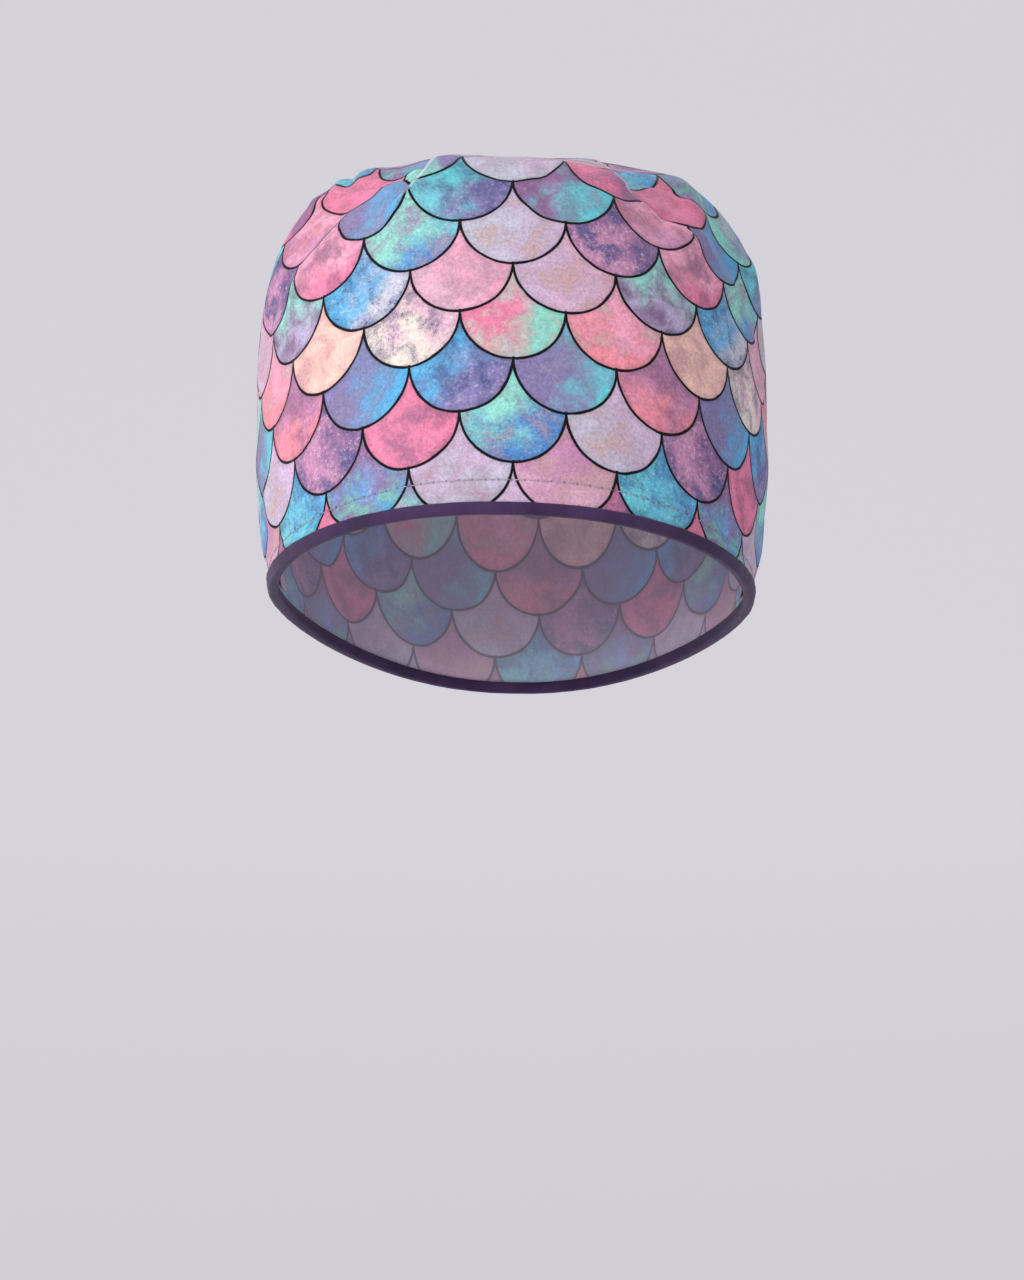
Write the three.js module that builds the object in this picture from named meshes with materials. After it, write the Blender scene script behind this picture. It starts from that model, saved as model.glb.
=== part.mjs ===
// A soft, tall scrub cap, as it stands when worn: two cotton panels and a bias binding.
// Millimetres, +Z up, the forehead faces -Y. The origin is the middle of the head opening.
// The rim is slanted: it is high over the forehead and low at the nape.
import * as THREE from "three";

// Sizes of the worn cap
const capWidth = 168;
const frontDepth = 97.8;
const backDepth = 104;
const crownHeight = 147.1;
const fullestHeight = 47.8;
const browHeight = 41;
const templeHeight = -4;
const napeHeight = -46;

// The crown seam runs over the head from temple to temple, and leans back as it rises
const seamFootY = 6;
const seamTopY = 28;
const cornerHeight = 130;

// Cloth, tape and the room between pieces
const clothWall = 1.2;
const tapeWall = 0.9;
const bindingHeight = 4.2;
const bindingReturn = 0.35;
const clearance = 0.3;

// Below its fullest level the cap draws in: share lost at the origin's level, and how fast it grows
const sideDrawIn = 0.07;
const backDrawIn = 0.035;
const drawInPower = 1.5;

// The rim bows down from a straight slant, and the cap sits a little askew
const rimBow = 0.25;
const askewSlope = 0.022;

// Side outline above the fullest level, forehead to back.
// depth: share of frontDepth (negative) or backDepth. rise: share of the rise to the crown.
const sideOutline = [
  { depth: -1.0, rise: 0.0 },
  { depth: -1.0, rise: 0.14 },
  { depth: -0.979, rise: 0.275 },
  { depth: -0.944, rise: 0.411 },
  { depth: -0.892, rise: 0.545 },
  { depth: -0.822, rise: 0.675 },
  { depth: -0.738, rise: 0.802 },
  { depth: -0.635, rise: 0.918 },
  { depth: -0.535, rise: 0.988 },
  { depth: -0.373, rise: 1.0 },
  { depth: -0.18, rise: 0.998 },
  { depth: 0.0, rise: 0.996 },
  { depth: 0.3, rise: 0.985 },
  { depth: 0.55, rise: 0.93 },
  { depth: 0.75, rise: 0.81 },
  { depth: 0.89, rise: 0.63 },
  { depth: 0.965, rise: 0.43 },
  { depth: 1.0, rise: 0.2 },
  { depth: 1.0, rise: 0.0 },
];

// Roundness of the cap across its width, by the angle round the side outline: 2 is an ellipse
const crossRoundness = [
  { angle: 0, power: 2.2 },
  { angle: 40, power: 2.1 },
  { angle: 65, power: 2.22 },
  { angle: 90, power: 3.4 },
  { angle: 115, power: 2.7 },
  { angle: 140, power: 2.3 },
  { angle: 180, power: 2.2 },
];

// Where the rows of cloth meet the crown seam.
// run: share of the way from rim to crown seam. climb: share of the way up the seam to its corner.
const frontRows = [
  { run: 0, climb: 0 },
  { run: 0.08, climb: 0.07 },
  { run: 0.6, climb: 0.84 },
  { run: 0.8, climb: 0.94 },
  { run: 1, climb: 1 },
];
const backRows = [
  { run: 0, climb: 0 },
  { run: 0.7, climb: 0.8 },
  { run: 1, climb: 1 },
];

// Folds and puffs of the cloth, as they show from the front, from the crown seam forward and down.
// x and z: shares of half the width and of the crown height, from a fold's start to its end.
// lift: shares of foldLift at the two ends, below zero for a dent. reach: share of foldReach.
const foldLift = 2.4;
const foldReach = 12;
const folds = [
  { name: "left tuck", x0: -0.18, z0: 1.0, lift0: 0.1, x1: -0.42, z1: 0.89, lift1: 1.0, reach: 1.0 },
  { name: "left tuck dent", x0: -0.42, z0: 0.98, lift0: -0.4, x1: -0.6, z1: 0.86, lift1: -0.3, reach: 0.9 },
  { name: "right tuck dent", x0: 0.4, z0: 1.0, lift0: -0.9, x1: 0.56, z1: 0.88, lift1: -1.0, reach: 1.1 },
  { name: "right tuck puff", x0: 0.62, z0: 0.92, lift0: 0.3, x1: 0.68, z1: 0.83, lift1: 0.7, reach: 1.0 },
  { name: "right shoulder bump", x0: 0.88, z0: 0.8, lift0: 0.2, x1: 0.94, z1: 0.7, lift1: 0.3, reach: 1.1 },
];

// Gathers at the nape: number across the back panel, depth, and how far up they reach
const gatherCount = 9;
const gatherDepth = 1.2;
const gatherRun = 0.45;

// Where folds and gathers die away: share of the way across, share of the way down from the crown seam,
// and the share of the way up from the rim at which they have their full height. A fold fades to its
// sides as a bell curve.
const foldsEndAcross = 0.9;
const foldsEndAtSeam = 0.08;
const foldsStartAtRim = 0.12;
const foldSteepness = 4;

// Facets of the cloth: columns across a panel and rows up it
const frontColumns = 52;
const frontRowCount = 29;
const backColumns = 36;
const backRowCount = 21;

// Finish of the curves that the facets lie on: steps along a centre line below and above the fullest
// level, and along a row, whose steps bunch towards the centre line
const lowLineSteps = 24;
const highLineSteps = 240;
const rowSteps = 90;
const rowBunching = 2.3;

const halfWidth = capWidth / 2;
const crownRise = crownHeight - fullestHeight;
const panelHem = tapeWall + clearance;
const halfClearance = clearance / 2;

// Smooth curve through rows of a table, which doesn't overshoot them
function curveThrough(xs, ys) {
  const last = xs.length - 1;
  const steepness = (i) => (ys[i + 1] - ys[i]) / (xs[i + 1] - xs[i]);
  const slopes = xs.map((x, i) => {
    const before = steepness(Math.max(i - 1, 0));
    const after = steepness(Math.min(i, last - 1));
    return before * after <= 0 ? 0 : (2 * before * after) / (before + after);
  });
  return (x) => {
    const at = Math.min(Math.max(x, xs[0]), xs[last]);
    let i = 0;
    while (i < last - 1 && at > xs[i + 1]) {
      i += 1;
    }
    const span = xs[i + 1] - xs[i];
    const t = (at - xs[i]) / span;
    const t2 = t * t;
    const t3 = t2 * t;
    return (
      (2 * t3 - 3 * t2 + 1) * ys[i] +
      (t3 - 2 * t2 + t) * span * slopes[i] +
      (-2 * t3 + 3 * t2) * ys[i + 1] +
      (t3 - t2) * span * slopes[i + 1]
    );
  };
}

const outlinePoints = sideOutline.map(({ depth, rise }) => ({
  y: depth * (depth < 0 ? frontDepth : backDepth),
  z: rise * crownRise,
}));
const outlineRadius = curveThrough(
  outlinePoints.map(({ y, z }) => Math.atan2(z, -y)),
  outlinePoints.map(({ y, z }) => Math.hypot(y, z)),
);
const roundnessAt = curveThrough(
  crossRoundness.map(({ angle }) => THREE.MathUtils.degToRad(angle)),
  crossRoundness.map(({ power }) => power),
);

function drawIn(z, share) {
  const below = Math.max(fullestHeight - z, 0) / fullestHeight;
  return 1 - share * Math.pow(below, drawInPower);
}

// How far a side-view point lies towards the side outline, and the power that rounds the cap there
function outlineShare(y, z) {
  const rise = Math.max(z - fullestHeight, 0);
  const angle = Math.atan2(rise, -y);
  const low = y > 0 ? drawIn(z, backDrawIn) : 1;
  return { share: Math.hypot(y, rise) / (outlineRadius(angle) * low), power: roundnessAt(angle) };
}

// Half the cap's width at a point of its side view
function reachAt(y, z) {
  const { share, power } = outlineShare(y, z);
  const left = Math.max(1 - Math.pow(Math.min(share, 1), power), 0);
  return halfWidth * drawIn(z, sideDrawIn) * Math.pow(left, 1 / power);
}

function formValue(p) {
  const { share, power } = outlineShare(p.y, p.z);
  return Math.pow(Math.abs(p.x) / (halfWidth * drawIn(p.z, sideDrawIn)), power) + Math.pow(share, power);
}

// Outward direction of the form at a point on it
function outwardAt(p) {
  const step = 0.05;
  const slope = (axis) => {
    const ahead = p.clone();
    const behind = p.clone();
    ahead[axis] += step;
    behind[axis] -= step;
    return formValue(ahead) - formValue(behind);
  };
  return new THREE.Vector3(slope("x"), slope("y"), slope("z")).normalize();
}

function seamY(z) {
  return THREE.MathUtils.mapLinear(z, templeHeight, crownHeight, seamFootY, seamTopY);
}

// The centre line of a panel, rim to crown seam, as points of the side view spaced by length
function centreLine(panel) {
  const points = [];
  const foot = panel.side < 0 ? 0 : Math.PI;
  const top = seamY(crownHeight) + panel.side * halfClearance;
  const topAngle = Math.atan2(crownRise, -top);
  for (let i = 0; i < lowLineSteps; i += 1) {
    const z = THREE.MathUtils.lerp(panel.rimHeight, fullestHeight, i / lowLineSteps);
    const depth = outlineRadius(foot) * (panel.side > 0 ? drawIn(z, backDrawIn) : 1);
    points.push(new THREE.Vector2(panel.side * depth, z));
  }
  for (let i = 0; i <= highLineSteps; i += 1) {
    const angle = THREE.MathUtils.lerp(foot, topAngle, i / highLineSteps);
    const radius = outlineRadius(angle);
    points.push(new THREE.Vector2(-radius * Math.cos(angle), fullestHeight + radius * Math.sin(angle)));
  }
  return evenly(points);
}

// A function that gives the point at a share of a line's length
function evenly(points) {
  const lengths = [0];
  for (let i = 1; i < points.length; i += 1) {
    lengths.push(lengths[i - 1] + points[i].distanceTo(points[i - 1]));
  }
  const total = lengths[lengths.length - 1];
  const at = (share) => {
    const want = THREE.MathUtils.clamp(share, 0, 1) * total;
    let i = 1;
    while (i < points.length - 1 && lengths[i] < want) {
      i += 1;
    }
    const part = (want - lengths[i - 1]) / (lengths[i] - lengths[i - 1]);
    return points[i - 1].clone().lerp(points[i], part);
  };
  at.total = total;
  return at;
}

// One row of a panel, from its centre line to the crown seam on one side
function halfRow(panel, run, hand) {
  const from = panel.line(run);
  const seamZ = THREE.MathUtils.lerp(panel.seamRim, cornerHeight, panel.climb(run));
  const seam = new THREE.Vector2(seamY(seamZ) + panel.side * halfClearance, seamZ);
  const points = [];
  for (let i = 0; i <= rowSteps; i += 1) {
    const way = Math.pow(i / rowSteps, rowBunching);
    const bowed = way + rimBow * (1 - run) * way * (1 - way);
    let y = THREE.MathUtils.lerp(from.x, seam.x, way);
    let z = THREE.MathUtils.lerp(from.y, seam.y, bowed);
    const shift = -askewSlope * hand * reachAt(y, z) * (1 - run);
    y += way * (seamY(z + shift) - seamY(z));
    z += shift;
    const x = i === 0 ? 0 : reachAt(y, z);
    points.push(new THREE.Vector3(hand * x, y, z));
  }
  return evenly(points);
}

// Height that the folds add to the cloth at a point, seen from the front
function foldAt(p) {
  if (p.y > seamFootY) {
    return 0;
  }
  const here = new THREE.Vector2(p.x, p.z);
  let height = 0;
  for (const fold of folds) {
    const start = new THREE.Vector2(fold.x0 * halfWidth, fold.z0 * crownHeight);
    const end = new THREE.Vector2(fold.x1 * halfWidth, fold.z1 * crownHeight);
    const along = end.clone().sub(start);
    const share = THREE.MathUtils.clamp(here.clone().sub(start).dot(along) / along.lengthSq(), 0, 1);
    const away = here.distanceTo(start.addScaledVector(along, share)) / (fold.reach * foldReach);
    height += THREE.MathUtils.lerp(fold.lift0, fold.lift1, share) * foldLift * Math.exp(-foldSteepness * away * away);
  }
  const behindBrow = THREE.MathUtils.smoothstep(-p.y, -seamTopY, seamFootY);
  return height * behindBrow;
}

// Depth of the gathers in the back panel, which fade up from the nape and towards the seams
function gatherAt(run, across) {
  const fade = THREE.MathUtils.smoothstep(gatherRun - run, 0, gatherRun) * Math.sqrt(1 - Math.abs(across));
  return gatherDepth * fade * Math.cos(across * gatherCount * Math.PI);
}

// A point of a panel's outer face before it is lifted, its outward direction, and the lift of its folds.
// Folds die away into the binding, the crown seam and the side seams.
function panelPoint(panel, run, across) {
  const hand = across < 0 ? -1 : 1;
  const p = panel.row(run, hand)(Math.abs(across));
  const lift = panel.side < 0 ? foldAt(p) : gatherAt(run, across);
  const sides = 1 - THREE.MathUtils.smoothstep(Math.abs(across), foldsEndAcross, 1);
  const top = THREE.MathUtils.smoothstep(1 - run, 0, foldsEndAtSeam);
  const rim = THREE.MathUtils.smoothstep(run, panel.bound, foldsStartAtRim);
  return { p, outward: outwardAt(p), lift: lift * sides * top * rim };
}

function makePanel(side, depthRows, rimHeight) {
  const panel = { side, rimHeight, seamRim: templeHeight + panelHem };
  panel.climb = curveThrough(
    depthRows.map(({ run }) => run),
    depthRows.map(({ climb }) => climb),
  );
  panel.line = centreLine(panel);
  panel.bound = bindingHeight / panel.line.total;
  const rows = new Map();
  panel.row = (run, hand) => {
    const key = `${run} ${hand}`;
    if (!rows.has(key)) {
      rows.set(key, halfRow(panel, run, hand));
    }
    return rows.get(key);
  };
  return panel;
}

// A solid loop from rings of points: every ring has the same count, and the last joins the first
function loopFromRings(rings) {
  const count = rings[0].length;
  const positions = rings.flat().flatMap((p) => [p.x, p.y, p.z]);
  const index = [];
  for (let i = 0; i < rings.length; i += 1) {
    const a = i * count;
    const b = ((i + 1) % rings.length) * count;
    for (let j = 0; j < count; j += 1) {
      const k = (j + 1) % count;
      index.push(a + j, b + j, b + k, a + j, b + k, a + k);
    }
  }
  const geometry = new THREE.BufferGeometry();
  geometry.setAttribute("position", new THREE.Float32BufferAttribute(positions, 3));
  geometry.setIndex(index);
  return geometry;
}

// A panel is a wall of cloth: an outer and an inner skin, joined round the four edges.
// Its first row above the rim lies at the top of the binding.
function panelGeometry(panel, columns, rowCount) {
  const outer = [];
  const inner = [];
  for (let r = 0; r <= rowCount; r += 1) {
    const run = r === 0 ? 0 : THREE.MathUtils.lerp(panel.bound, 1, (r - 1) / (rowCount - 1));
    for (let c = 0; c <= columns; c += 1) {
      const { p, outward, lift } = panelPoint(panel, run, (2 * c) / columns - 1);
      outer.push(p.clone().addScaledVector(outward, lift));
      inner.push(p.clone().addScaledVector(outward, lift - clothWall));
    }
  }
  const width = columns + 1;
  const skin = outer.length;
  const index = [];
  const quad = (a, b, c, d) => index.push(a, b, c, a, c, d);
  for (let r = 0; r < rowCount; r += 1) {
    for (let c = 0; c < columns; c += 1) {
      const a = r * width + c;
      quad(a, a + 1, a + 1 + width, a + width);
      quad(skin + a, skin + a + width, skin + a + 1 + width, skin + a + 1);
    }
  }
  for (let c = 0; c < columns; c += 1) {
    const top = rowCount * width + c;
    quad(c + 1, c, skin + c, skin + c + 1);
    quad(top, top + 1, skin + top + 1, skin + top);
  }
  for (let r = 0; r < rowCount; r += 1) {
    const left = r * width;
    const right = left + columns;
    quad(left, left + width, skin + left + width, skin + left);
    quad(right + width, right, skin + right, skin + right + width);
  }
  if (panel.side > 0) {
    for (let i = 0; i < index.length; i += 3) {
      [index[i + 1], index[i + 2]] = [index[i + 2], index[i + 1]];
    }
  }
  const geometry = new THREE.BufferGeometry();
  const positions = [...outer, ...inner].flatMap((p) => [p.x, p.y, p.z]);
  geometry.setAttribute("position", new THREE.Float32BufferAttribute(positions, 3));
  geometry.setIndex(index);
  return geometry;
}

const front = makePanel(-1, frontRows, browHeight + panelHem);
const back = makePanel(1, backRows, napeHeight + panelHem);

// The binding is one folded tape: a channel that holds the panels' edge between its two legs.
// out and up are distances from the panels' outer edge, in the channel's own section.
const legTop = bindingHeight - panelHem;
const legOut = clearance + tapeWall;
const legIn = clothWall + clearance + tapeWall;
const undersideHalf = 0.9;
const bindingSection = [
  { out: clearance, up: legTop },
  { out: clearance, up: -clearance },
  { out: -clothWall - clearance, up: -clearance },
  { out: -clothWall - clearance, up: legTop },
  { out: -legIn + bindingReturn, up: legTop },
  { out: -legIn, up: legTop - bindingReturn },
  { out: -legIn, up: -clearance },
  { out: -clothWall / 2 - undersideHalf, up: -panelHem },
  { out: -clothWall / 2 + undersideHalf, up: -panelHem },
  { out: legOut, up: -clearance },
  { out: legOut, up: legTop - bindingReturn },
  { out: legOut - bindingReturn, up: legTop },
];

function bindingGeometry() {
  const stations = [];
  const addHalf = (panel, steps, sign) => {
    for (let i = 0; i < steps; i += 1) {
      const across = sign * ((2 * i) / steps - 1);
      const edge = panelPoint(panel, 0, across);
      const above = panelPoint(panel, panel.bound, across).p;
      stations.push({ at: edge.p.clone().addScaledVector(edge.outward, edge.lift), outward: edge.outward, above });
    }
  };
  addHalf(front, frontColumns, 1);
  addHalf(back, backColumns, -1);
  const count = stations.length;
  const rings = stations.map(({ at, outward, above }, i) => {
    const ahead = stations[(i + 1) % count].at;
    const behind = stations[(i - 1 + count) % count].at;
    const along = ahead.clone().sub(behind).normalize();
    const up = above.clone().sub(at);
    up.addScaledVector(along, -up.dot(along)).normalize();
    const out = new THREE.Vector3().crossVectors(along, up).normalize();
    if (out.dot(outward) < 0) {
      out.negate();
    }
    return bindingSection.map((s) => at.clone().addScaledVector(out, s.out).addScaledVector(up, s.up));
  });
  return loopFromRings(rings);
}

function piece(name, geometry, color, roughness) {
  const mesh = new THREE.Mesh(geometry, new THREE.MeshStandardMaterial({ color, roughness, metalness: 0 }));
  mesh.name = name;
  return mesh;
}

const cap = new THREE.Group();
cap.name = "scrub_cap";
cap.add(piece("front_panel", panelGeometry(front, frontColumns, frontRowCount), 0xb9a3cf, 0.85));
cap.add(piece("back_panel", panelGeometry(back, backColumns, backRowCount), 0xa99bc6, 0.85));
cap.add(piece("edge_binding", bindingGeometry(), 0x452c58, 0.8));

export default cap;
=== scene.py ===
from functools import partial
from math import atan, cos, pi, radians, sin

import bmesh
import bpy
import numpy as np
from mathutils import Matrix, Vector


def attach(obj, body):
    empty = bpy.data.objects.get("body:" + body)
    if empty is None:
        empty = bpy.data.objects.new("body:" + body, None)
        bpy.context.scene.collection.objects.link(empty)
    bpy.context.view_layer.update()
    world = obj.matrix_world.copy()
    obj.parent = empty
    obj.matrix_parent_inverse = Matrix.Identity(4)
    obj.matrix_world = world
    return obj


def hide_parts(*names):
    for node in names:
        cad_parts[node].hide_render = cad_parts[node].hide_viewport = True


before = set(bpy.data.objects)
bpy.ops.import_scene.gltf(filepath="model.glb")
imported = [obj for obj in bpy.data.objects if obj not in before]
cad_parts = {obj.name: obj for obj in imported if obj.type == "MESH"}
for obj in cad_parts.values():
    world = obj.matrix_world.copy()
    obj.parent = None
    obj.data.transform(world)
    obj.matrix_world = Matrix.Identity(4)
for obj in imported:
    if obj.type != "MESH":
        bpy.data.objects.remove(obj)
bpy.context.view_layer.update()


# Camera
# A portrait picture taken from 1.1 m in front of the cap, level with its crown and tipped a little down.
# The lens is given by its focal length in pixels of the 1024 x 1280 picture.
picture_height = 1280
focal_pixels = 3344
horizon_row = 130
sensor_side = 36.0
camera_data = bpy.data.cameras.new("picture_camera")
camera_data.sensor_fit = "VERTICAL"
camera_data.sensor_height = sensor_side
camera_data.lens = focal_pixels / picture_height * sensor_side
camera = bpy.data.objects.new("picture_camera", camera_data)
camera.location = (0, -1.1, 0.1558)
camera.rotation_euler = (pi / 2 - atan((picture_height / 2 - horizon_row) / focal_pixels), 0, 0)
bpy.context.scene.collection.objects.link(camera)
bpy.context.scene.camera = camera


# Front panel
# The printed cotton over the forehead, the sides and the front of the crown, cut in one piece.
# It is sewn to the back panel along the crown seam, and its spare width is laid in tucks at both top corners.
# Lengths here are millimetres: the mesh is scaled to metres when it is made.
cap_width = 168
front_depth = 97.8
back_depth = 104
crown_height = 147.1
fullest_height = 47.8
brow_height = 41
temple_height = -4
nape_height = -46
seam_foot_y = 6
seam_top_y = 28
corner_height = 130
cloth_wall = 1.2
tape_wall = 0.9
binding_height = 4.2
clearance = 0.3
side_draw_in = 0.07
back_draw_in = 0.035
draw_in_power = 1.5
rim_bow = 0.25
askew_slope = 0.022
half_width = cap_width / 2
crown_rise = crown_height - fullest_height
panel_hem = tape_wall + clearance

# Side outline above the fullest level, forehead to back: shares of the depth and of the rise to the crown
side_outline = [
    (-1.0, 0.0), (-1.0, 0.14), (-0.979, 0.275), (-0.944, 0.411), (-0.892, 0.545), (-0.822, 0.675),
    (-0.738, 0.802), (-0.635, 0.918), (-0.535, 0.988), (-0.373, 1.0), (-0.18, 0.998), (0.0, 0.996),
    (0.3, 0.985), (0.55, 0.93), (0.75, 0.81), (0.89, 0.63), (0.965, 0.43), (1.0, 0.2), (1.0, 0.0),
]
# Roundness across the width by the angle round the side outline, in degrees: 2 is an ellipse
cross_roundness = [(0, 2.2), (40, 2.1), (65, 2.22), (90, 3.4), (115, 2.7), (140, 2.3), (180, 2.2)]
# Share of the way up the panel, and share of the way up the seam at which that row of cloth ends
front_rows = [(0, 0), (0.08, 0.07), (0.6, 0.84), (0.8, 0.94), (1, 1)]
back_rows = [(0, 0), (0.7, 0.8), (1, 1)]


def curve_through(points):
    """A smooth curve through a short table's rows that doesn't overshoot."""
    xs, ys = (np.array(column, float) for column in zip(*points))
    steps = np.diff(ys) / np.diff(xs)
    slopes = np.empty(len(xs))
    slopes[0], slopes[-1] = steps[0], steps[-1]
    product = steps[:-1] * steps[1:]
    total = np.where(np.abs(steps[:-1] + steps[1:]) > 1e-12, steps[:-1] + steps[1:], 1)
    slopes[1:-1] = np.where(product > 0, 2 * product / total, 0)

    def at(x):
        x = np.clip(x, xs[0], xs[-1])
        i = np.clip(np.searchsorted(xs, x) - 1, 0, len(xs) - 2)
        span = xs[i + 1] - xs[i]
        t = (x - xs[i]) / span
        return (
            (2 * t**3 - 3 * t**2 + 1) * ys[i]
            + (t**3 - 2 * t**2 + t) * span * slopes[i]
            + (3 * t**2 - 2 * t**3) * ys[i + 1]
            + (t**3 - t**2) * span * slopes[i + 1]
        )

    return at


def ease(x, low, high):
    """0 below low, 1 above high, and a smooth step between."""
    t = np.clip((x - low) / (high - low), 0, 1)
    return t * t * (3 - 2 * t)


outline_points = [(d * (front_depth if d < 0 else back_depth), r * crown_rise) for d, r in side_outline]
outline_radius = curve_through([(np.arctan2(z, -y), np.hypot(y, z)) for y, z in outline_points])
roundness_at = curve_through([(radians(angle), power) for angle, power in cross_roundness])


def draw_in(z, share):
    return 1 - share * (np.maximum(fullest_height - z, 0) / fullest_height) ** draw_in_power


def outline_share(y, z):
    """How far a point of the side view lies towards the outline, and the roundness there."""
    rise = np.maximum(z - fullest_height, 0)
    angle = np.arctan2(rise, -y)
    low = np.where(y > 0, draw_in(z, back_draw_in), 1)
    return np.hypot(y, rise) / (outline_radius(angle) * low), roundness_at(angle)


def reach_at(y, z):
    """Half the cap's width at a point of its side view."""
    share, power = outline_share(y, z)
    left = np.maximum(1 - np.minimum(share, 1) ** power, 0)
    return half_width * draw_in(z, side_draw_in) * left ** (1 / power)


def unit(vectors):
    return vectors / np.linalg.norm(vectors, axis=-1, keepdims=True)


def outward_at(p):
    """Outward direction of the worn form at each point."""
    def value(q):
        share, power = outline_share(q[..., 1], q[..., 2])
        return (np.abs(q[..., 0]) / (half_width * draw_in(q[..., 2], side_draw_in))) ** power + share**power

    step = 0.05
    return unit(np.stack([value(p + step * axis) - value(p - step * axis) for axis in np.eye(3)], -1))


def seam_y(z):
    return seam_foot_y + (seam_top_y - seam_foot_y) * (z - temple_height) / (crown_height - temple_height)


def lengths_along(points):
    """Length along a line of points, from its start to each of them."""
    return np.concatenate([[0], np.cumsum(np.linalg.norm(np.diff(points, axis=0), axis=1))])


def evenly(points, shares):
    """Points at shares of a line's length, and that length."""
    lengths = lengths_along(points)
    places = np.asarray(shares) * lengths[-1]
    return np.stack([np.interp(places, lengths, column) for column in points.T], -1), lengths[-1]


def centre_line(side, rim_height):
    """The line up the middle of a panel, from the rim to the crown seam, in the side view."""
    foot = 0 if side < 0 else pi
    top_y = seam_y(crown_height) + side * clearance / 2
    low_z = np.linspace(rim_height, fullest_height, 40, endpoint=False)
    low_depth = outline_radius(foot) * (draw_in(low_z, back_draw_in) if side > 0 else 1)
    angles = np.linspace(foot, np.arctan2(crown_rise, -top_y), 900)
    radii = outline_radius(angles)
    return np.concatenate([
        np.stack([side * low_depth * np.ones(40), low_z], -1),
        np.stack([-radii * np.cos(angles), fullest_height + radii * np.sin(angles)], -1),
    ])


def panel_grid(side, line, rows_table, row_shares, column_shares):
    """A panel's points by row and column, and each point's distance from the centre line along its row."""
    starts, _ = evenly(line, row_shares)
    climb = curve_through(rows_table)
    grid, across_length = [], []
    way = np.linspace(0, 1, 500) ** 2.3
    for (y0, z0), run, shares in zip(starts, row_shares, column_shares):
        z1 = temple_height + panel_hem + (corner_height - temple_height - panel_hem) * climb(run)
        y1 = seam_y(z1) + side * clearance / 2
        halves, lengths = [], []
        for hand in (-1, 1):
            y = y0 + (y1 - y0) * way
            z = z0 + (z1 - z0) * (way + rim_bow * (1 - run) * way * (1 - way))
            shift = -askew_slope * hand * reach_at(y, z) * (1 - run)
            y = y + way * (seam_y(z + shift) - seam_y(z))
            z = z + shift
            x = hand * reach_at(y, z)
            x[0] = 0
            mine = shares[shares <= 0] if hand < 0 else shares[shares > 0]
            points, long = evenly(np.stack([x, y, z], -1), np.abs(mine))
            halves.append(points)
            lengths.append(mine * long)
        grid.append(np.concatenate(halves))
        across_length.append(np.concatenate(lengths))
    return np.array(grid), np.array(across_length)


def add_piece(name, mesh):
    piece = bpy.data.objects.new(name, mesh)
    bpy.context.scene.collection.objects.link(piece)
    return piece


def cloth_shell(name, outer, inner, maps, flip, materials):
    """A wall of cloth from two grids of points. maps gives each grid's uv maps, in metres of cloth."""
    rows, columns = outer.shape[:2]
    index = np.arange(rows * columns).reshape(rows, columns)
    skin = rows * columns
    a, b, c, d = index[:-1, :-1], index[:-1, 1:], index[1:, 1:], index[1:, :-1]
    out_faces = np.stack([a, b, c, d], -1).reshape(-1, 4)
    in_faces = np.stack([a, d, c, b], -1).reshape(-1, 4) + skin
    rim = np.concatenate([index[0, :], index[1:, -1], index[-1, -2::-1], index[-2:0:-1, 0]])
    after = np.roll(rim, -1)
    edge_faces = np.stack([after, rim, rim + skin, after + skin], -1)
    faces = np.concatenate([out_faces, in_faces, edge_faces])
    if flip:
        faces = faces[:, ::-1]
    points = np.concatenate([outer.reshape(-1, 3), inner.reshape(-1, 3)]) / 1000
    mesh = bpy.data.meshes.new(name)
    mesh.from_pydata(points.tolist(), [], faces.tolist())
    for map_name, values in maps.items():
        layer = mesh.uv_layers.new(name=map_name)
        both = np.concatenate([values.reshape(-1, 2)] * 2)
        layer.data.foreach_set("uv", both[faces.reshape(-1)].astype(np.float32).reshape(-1))
    for material in materials:
        mesh.materials.append(material)
    slots = np.zeros(len(faces), np.int32)
    slots[len(out_faces):len(out_faces) + len(in_faces)] = 1
    mesh.polygons.foreach_set("material_index", slots)
    mesh.polygons.foreach_set("use_smooth", np.ones(len(faces), bool))
    mesh.update()
    return add_piece(name, mesh)


def soft_noise(u, v, size, seed):
    """Smooth bumps from -1 to 1 that don't repeat, for the slack of cloth: a sum of a few tilted waves."""
    draw = np.random.default_rng(seed)
    total = np.zeros(np.broadcast(u, v).shape)
    for _ in range(7):
        angle = draw.uniform(0, 2 * pi)
        wave = draw.uniform(0.7, 1.6) * 2 * pi / size
        total += np.sin(wave * (u * np.cos(angle) + v * np.sin(angle)) + draw.uniform(0, 2 * pi))
    return total / 3.5


# Tucks at the top corners, where spare width is folded under. hand is -1 for the viewer's left.
# place: millimetres from the centre line, and hidden: millimetres of cloth folded away, by the share of the
# way up the panel. lap: height of the folded edge.
tucks = [
    {"hand": -1, "lap": 2.6,
     "place": [(0.48, 50), (0.514, 36), (0.566, 27.5), (0.645, 23), (0.777, 18), (1, 14)],
     "hidden": [(0.48, 0), (0.514, 3), (0.566, 9), (0.645, 14), (0.777, 22), (1, 30)]},
    {"hand": 1, "lap": 1.7,
     "place": [(0.49, 72), (0.52, 60), (0.534, 53), (0.553, 46), (0.57, 40), (0.61, 37), (0.8, 31), (1, 27)],
     "hidden": [(0.49, 0), (0.52, 2), (0.553, 5), (0.6, 9), (0.8, 18), (1, 26)]},
]
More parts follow.
